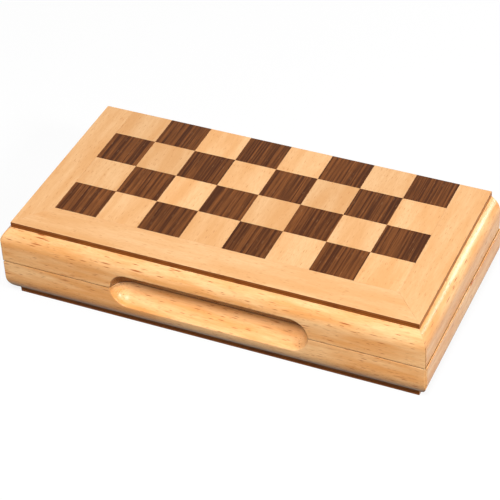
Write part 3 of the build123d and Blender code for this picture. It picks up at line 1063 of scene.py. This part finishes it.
@dataclass
class CarvedKnights:
    """Both knights of one army, rounded and carved from the sawn shape the CAD gives.

    Places and sizes without a unit are in shares of the foot's radius.
    """

    army: str
    half: Half
    wood: Wood
    seed: float
    foot_share: float = 0.81
    voxel_mm: float = 0.3
    rounds: int = 9
    relaxing: float = 0.6
    head_from: float = 0.02
    head_fade: float = 0.12
    narrowing: float = 0.42
    roundness: float = 2.2
    locks: int = 11
    ear_split_from: float = 3.0
    ear_split_fade: float = 0.25
    ear_split_width: float = 0.13
    ear_split_depth: float = 0.34
    mane_root: tuple[Pair, ...] = (
        (0.10, 3.08), (-0.20, 2.62), (-0.34, 2.05), (-0.38, 1.40), (-0.34, 0.75), (-0.24, 0.10),
    )
    mane_edge: tuple[Pair, ...] = (
        (0.10, 3.20), (-0.30, 2.88), (-0.58, 2.30), (-0.74, 1.40), (-0.74, 0.55), (-0.62, -0.20),
    )

    def strokes(self) -> list[Stroke]:
        """List every stroke on a head.

        Returns:
            The mane's root, jaw, mouth, nostril, eye, brow, cheek and ear, then the mane's locks.
        """
        cuts = [
            Stroke(self.mane_root, width_mm=0.42, depth_mm=0.50),
            Stroke(arc((0.20, 1.86), 0.36, -68.0, -205.0), width_mm=0.45, depth_mm=0.42),
            Stroke(((0.96, 1.44), (0.80, 1.50), (0.60, 1.52)), width_mm=0.38, depth_mm=0.55),
            Stroke(((0.80, 1.74), (0.84, 1.69)), width_mm=0.42, depth_mm=0.50),
            Stroke(arc((0.40, 2.27), 0.115, 0.0, 360.0), width_mm=0.30, depth_mm=0.36),
            Stroke(((0.28, 2.46), (0.42, 2.50), (0.56, 2.40)), width_mm=0.34, depth_mm=0.30),
            Stroke(((0.60, 2.06), (0.74, 1.84)), width_mm=0.45, depth_mm=0.22),
            Stroke(((0.28, 2.98), (0.33, 3.30)), width_mm=0.40, depth_mm=0.42),
        ]
        rise, fall, sag = 0.03, 0.06, 0.05
        for lock in range(self.locks):
            share = (lock + 0.5) / self.locks
            root = point_along(self.mane_root, share - rise)
            edge = point_along(self.mane_edge, share + fall)
            middle = ((root[0] + edge[0]) / 2, (root[1] + edge[1]) / 2 + sag)
            cuts.append(Stroke((root, middle, edge), width_mm=0.40, depth_mm=0.42))
        return cuts

    def _blank(self, name: str) -> bpy.types.Mesh:
        """Copy the CAD shape and give it an even skin fine enough to carve.

        Args:
            name: What the new mesh is called.

        Returns:
            The mesh, in the frame's own axes.
        """
        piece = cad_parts[f"{self.army}_knights"]
        sawn = piece.data.copy()
        sawn.transform(piece.matrix_world)
        block = add_object(f"{name}_block", sawn)
        skin = block.modifiers.new("skin", "REMESH")
        skin.mode, skin.voxel_size = "VOXEL", self.voxel_mm * MM
        ready = block.evaluated_get(bpy.context.evaluated_depsgraph_get())
        mesh = bpy.data.meshes.new_from_object(ready)
        mesh.name = name
        bpy.data.objects.remove(block)
        return mesh

    def _smooth(self, mesh: bpy.types.Mesh, spots: np.ndarray, head: np.ndarray) -> np.ndarray:
        """Relax the head's points towards their neighbours.

        Args:
            mesh: The skin.
            spots: Its points, in metres.
            head: Which of them are free to move, 0 to 1.

        Returns:
            The relaxed points.
        """
        ends = np.empty(2 * len(mesh.edges), dtype=np.int64)
        mesh.edges.foreach_get("vertices", ends)
        one, other = ends[0::2], ends[1::2]
        count = np.bincount(ends, minlength=len(spots))
        for _ in range(self.rounds):
            pull = np.empty_like(spots)
            for axis in range(3):
                there = np.bincount(one, spots[other, axis], len(spots))
                back = np.bincount(other, spots[one, axis], len(spots))
                pull[:, axis] = (there + back) / count
            spots = spots + self.relaxing * head[:, None] * (pull - spots)
        return spots

    def _round_off(self, forward: np.ndarray, up: np.ndarray, head: np.ndarray) -> np.ndarray:
        """Find how much narrower the head gets towards its outline, so that no side is flat.

        Args:
            forward: Each point's place forward.
            up: Each point's place up.
            head: Which points belong to the head, 0 to 1.

        Returns:
            The share of its width that each point keeps.
        """
        top, step = 3.6, 0.1
        levels = np.arange(0.0, top, step)
        carved = head > 0.5
        fore, aft = [], []
        for level in levels:
            near = carved & (np.abs(up - level) < 0.9 * step)
            fore.append(forward[near].max() if near.any() else 0.4)
            aft.append(forward[near].min() if near.any() else 0.2)
        high, low = np.interp(up, levels, fore), np.interp(up, levels, aft)
        off = np.clip((2 * forward - high - low) / np.maximum(high - low, 0.2), -1.0, 1.0)
        return 1 - head * self.narrowing * np.abs(off) ** self.roundness

    def _groove(self, forward: np.ndarray, up: np.ndarray, radius: float) -> np.ndarray:
        """Find how deep the strokes cut.

        Args:
            forward: Each point's place forward.
            up: Each point's place up.
            radius: The foot's radius, in metres.

        Returns:
            The depth at each point, in metres.
        """
        depth = np.zeros(len(forward))
        for stroke in self.strokes():
            off = stroke.distance(forward, up) * radius / (stroke.width_mm * MM)
            depth = np.maximum(depth, stroke.depth_mm * MM * np.clip(1 - off**2, 0.0, 1.0))
        return depth

    def build(self) -> None:
        """Carve both knights, and let them stand for the CAD node."""
        name = f"{self.army}_knights_carved"
        mesh = self._blank(name)
        boxes = islands(f"{self.army}_knights")
        low, high = boxes[0]
        radius = (high.z - low.z) / 2
        middle_z = (high.z + low.z) / 2
        foot_y = high.y - self.foot_share * radius
        spots = np.empty(3 * len(mesh.vertices))
        mesh.vertices.foreach_get("co", spots)
        spots = spots.reshape(-1, 3)
        ahead = spots[:, 0] > (boxes[0][1].x + boxes[1][0].x) / 2
        middle_x = np.where(ahead, (boxes[1][0].x + boxes[1][1].x) / 2, (low.x + high.x) / 2)
        up = (foot_y - spots[:, 1]) / radius
        head = np.clip((up - self.head_from) / self.head_fade, 0.0, 1.0)
        spots = self._smooth(mesh, spots, head)
        forward = (spots[:, 0] - middle_x) / radius
        up = (foot_y - spots[:, 1]) / radius
        kept = self._round_off(forward, up, head)
        spots[:, 2] = middle_z + (spots[:, 2] - middle_z) * kept
        mesh.vertices.foreach_set("co", spots.ravel())
        mesh.update()
        facing = np.empty(3 * len(mesh.vertices))
        mesh.vertex_normals.foreach_get("vector", facing)
        facing = facing.reshape(-1, 3)
        spots -= facing * (self._groove(forward, up, radius) * head)[:, None]
        sideways = np.abs(spots[:, 2] - middle_z) / radius
        split = np.clip(1 - sideways / self.ear_split_width, 0.0, 1.0)
        split *= np.clip((up - self.ear_split_from) / self.ear_split_fade, 0.0, 1.0)
        spots[:, 1] += self.ear_split_depth * radius * split
        mesh.vertices.foreach_set("co", spots.ravel())
        mesh.shade_smooth()
        mesh.materials.clear()
        mesh.materials.append(self.wood.make(name, Grain.ALONG_Y, self.seed))
        carved = add_object(name, mesh)
        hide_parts(f"{self.army}_knights")
        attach(carved, self.half.value)
        log.info("%s: %d points", name, len(mesh.vertices))


@dataclass
class Baize:
    """The felt discs glued under sixteen men, with soft cut edges."""

    army: str
    half: Half
    edge_mm: float = 0.35
    fray_mm: float = 0.06
    corners: int = 48
    ring_turns_deg: tuple[float, ...] = (-90.0, -60.0, -25.0, 25.0, 60.0, 90.0)
    seed: int = 7

    def _disc(self, shape: bmesh.types.BMesh, low: Vector, high: Vector) -> float:
        """Add one disc where the CAD has it.

        Args:
            shape: The mesh that all discs go into.
            low: The lowest corner of the CAD disc.
            high: Its highest corner.

        Returns:
            The disc's area, in square metres.
        """
        middle = (low + high) / 2
        radius, edge = (high.x - low.x) / 2, self.edge_mm * MM
        half_thick = (high.y - low.y) / 2
        rings = []
        for turn in self.ring_turns_deg:
            reach = edge * math.cos(math.radians(turn))
            lift = half_thick - edge + edge * abs(math.sin(math.radians(turn)))
            y = middle.y + math.copysign(lift, turn)
            ring = []
            for corner in range(self.corners):
                around = 2 * math.pi * corner / self.corners
                frayed = random.uniform(-self.fray_mm, 0.0) * MM
                out = radius - edge + reach + frayed
                place = (middle.x + out * math.cos(around), y, middle.z + out * math.sin(around))
                ring.append(shape.verts.new(place))
            rings.append(ring)
        for one, other in zip(rings, rings[1:]):
            for corner in range(self.corners):
                after = (corner + 1) % self.corners
                shape.faces.new((one[corner], one[after], other[after], other[corner]))
        shape.faces.new(list(reversed(rings[0])))
        shape.faces.new(rings[-1])
        return math.pi * radius**2

    def build(self) -> None:
        """Cut all the discs, and let them stand for the CAD node."""
        node = f"{self.army}_baize"
        random.seed(self.seed)
        shape = bmesh.new()
        area = sum(self._disc(shape, low, high) for low, high in islands(node))
        bmesh.ops.recalc_face_normals(shape, faces=shape.faces)
        mesh = bpy.data.meshes.new(f"{node}_discs")
        shape.to_mesh(mesh)
        shape.free()
        mesh.materials.append(BAIZE.make())
        mesh.shade_smooth()
        discs = add_object(f"{node}_discs", mesh)
        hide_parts(node)
        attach(discs, self.half.value)
        log.info("%s: %.0f square millimetres", discs.name, area / MM**2)


@dataclass
class Army:
    """Sixteen men of one colour, with the magnet and the baize under each."""

    name: str
    half: Half
    wood: Wood
    seed: float
    turned: tuple[str, ...] = ("king", "queen", "bishops", "rooks", "pawns")

    def build(self) -> None:
        """Dress the men and what is under them."""
        for number, kind in enumerate(self.turned):
            node = f"{self.name}_{kind}"
            dress(node, self.wood.make(node, Grain.ALONG_Y, self.seed + 43.0 * number))
        CarvedKnights(self.name, self.half, self.wood, self.seed + 300.0).build()
        dress(f"{self.name}_magnets", NICKEL.make())
        Baize(self.name, self.half).build()


# Studio

@dataclass(frozen=True)
class Lamp:
    """A soft box, placed by its direction from the object.

    Its share is how brightly it lights a white sheet that faces it.
    """

    name: str
    azimuth_deg: float
    elevation_deg: float
    distance: float
    width: float
    height: float
    share: float

    def build(self, aim: Vector) -> None:
        """Hang the lamp and point it at the object.

        Args:
            aim: What it points at.
        """
        towards = direction(self.azimuth_deg, self.elevation_deg)
        light = bpy.data.lights.new(self.name, "AREA")
        light.shape = "RECTANGLE"
        light.size, light.size_y = self.width, self.height
        light.energy = self.share * math.pi**2 * self.distance**2
        lamp = add_object(self.name, light)
        lamp.location = aim + towards * self.distance
        lamp.rotation_mode = "QUATERNION"
        lamp.rotation_quaternion = (-towards).to_track_quat("-Z", "Y")
        log.info("lamp %s: %.1f W", self.name, light.energy)


@dataclass
class Studio:
    """White floor and surround, soft lamps, and the camera where the photograph's stood."""

    azimuth_deg: float = 25.098
    elevation_deg: float = 38.911
    roll_deg: float = 2.672
    distance: float = 1.01137
    aim: Triple = (0.000358, -0.00465, 0.0233)
    lens_mm: float = 137.97
    sensor_mm: float = 36.0
    ambient: float = 0.21
    horizon: float = 0.05
    ceiling_deg: Pair = (20.0, 60.0)
    floor_half_side: float = 3.0
    floor_drop_mm: float = 0.02
    floor_glow: float = 0.88
    paper: str = "#606060"
    paper_from_below: str = "#3c3c3c"
    # Name, azimuth, elevation, distance, width, height and share.
    lamps: tuple[Lamp, ...] = (
        Lamp("key", 66.0, 34.0, 1.3, 0.25, 0.25, 0.50),
        Lamp("front", 14.0, 56.0, 1.4, 0.5, 0.35, 0.79),
        Lamp("fill", 0.0, 16.0, 1.5, 1.0, 0.6, 0.14),
        Lamp("rim", 137.0, 13.0, 1.2, 0.26, 0.18, 0.28),
        Lamp("back", 168.0, 10.0, 1.4, 0.8, 0.3, 0.24),
    )

    def _seen(self, tree: Tree) -> Node:
        """Tell the rays that see the white surround from those that light the object.

        Args:
            tree: The node tree that asks.

        Returns:
            1 for camera, glossy and transmission rays, and 0 for others.
        """
        path = add_node(tree, "LightPath").outputs
        seen = path["Is Camera Ray"]
        for other in ("Is Glossy Ray", "Is Transmission Ray"):
            seen = add_node(tree, "Math MAXIMUM", {0: seen, 1: path[other]})
        return seen

    def build_surround(self) -> None:
        """Light the object from a pale ceiling, darker towards the horizon, on white."""
        world = bpy.data.worlds.new("studio")
        world.use_nodes = True
        tree = world.node_tree
        tree.nodes.clear()
        way = add_node(tree, "TexCoord").outputs["Generated"]
        height = add_node(tree, "SeparateXYZ", {0: way}).outputs["Z"]
        start, full = (math.sin(math.radians(turn)) for turn in self.ceiling_deg)
        ceiling = add_node(tree, "MapRange", {
            "Value": height, "interpolation_type": "SMOOTHSTEP", "From Min": start,
            "From Max": full, "To Min": self.horizon, "To Max": self.ambient,
        })
        strength = add_node(tree, "MapRange", {
            "Value": self._seen(tree), "To Min": ceiling, "To Max": 1.0
        })
        white = (1.0, 1.0, 1.0, 1.0)
        background = add_node(tree, "Background", {"Color": white, "Strength": strength})
        add_node(tree, "OutputWorld", {"Surface": background})
        bpy.context.scene.world = world

    def build_floor(self) -> None:
        """Lay a white floor that takes the object's shadow, faintly, and else shows white."""
        side, z = self.floor_half_side, -self.floor_drop_mm * MM
        corners = [(x * side, y * side, z) for x, y in ((-1, -1), (1, -1), (1, 1), (-1, 1))]
        mesh = bpy.data.meshes.new("floor")
        mesh.from_pydata(corners, [], [(0, 1, 2, 3)])
        floor = add_object("floor", mesh)
        material, tree = new_material("white_paper")
        glow = add_node(tree, "Math MULTIPLY", {0: self._seen(tree), 1: self.floor_glow})
        # Diffuse rays meet a darker floor, so that little light comes back up under the case.
        bounced = add_node(tree, "LightPath").outputs["Is Diffuse Ray"]
        shade = paint(tree, self.paper, [(bounced, self.paper_from_below)])
        paper = add_node(tree, "BsdfDiffuse", {"Color": shade})
        lit = add_node(tree, "Emission", {"Strength": glow})
        both = add_node(tree, "AddShader", {0: paper, 1: lit})
        add_node(tree, "OutputMaterial", {"Surface": both})
        mesh.materials.append(material)

    def build_camera(self) -> None:
        """Stand the camera where the photograph's stood."""
        back = direction(self.azimuth_deg, self.elevation_deg)
        data = bpy.data.cameras.new("camera")
        data.lens, data.sensor_width = self.lens_mm, self.sensor_mm
        camera = add_object("camera", data)
        look = (-back).to_track_quat("-Z", "Y").to_matrix().to_4x4()
        roll = Matrix.Rotation(-math.radians(self.roll_deg), 4, "Z")
        place = Matrix.Translation(Vector(self.aim) + back * self.distance)
        camera.matrix_world = place @ look @ roll
        bpy.context.scene.camera = camera

    def build(self) -> None:
        """Build the whole studio."""
        self.build_surround()
        self.build_floor()
        for lamp in self.lamps:
            lamp.build(Vector(self.aim))
        self.build_camera()
        bpy.context.scene.view_settings.view_transform = "Standard"


def main() -> None:
    """Build the studio and dress every sub-assembly in order."""
    Studio().build()
    for number, half in enumerate(Half):
        Frame(half, 900.0 * number).build()
        Board(half, 420.0 + 700.0 * number).build()
    Hardware().build()
    Lining().build()
    Army("light", Half.BASE, BOXWOOD, 50.0).build()
    Army("dark", Half.LID, STAINED_BOXWOOD, 850.0).build()


if __name__ == "__main__":
    main()
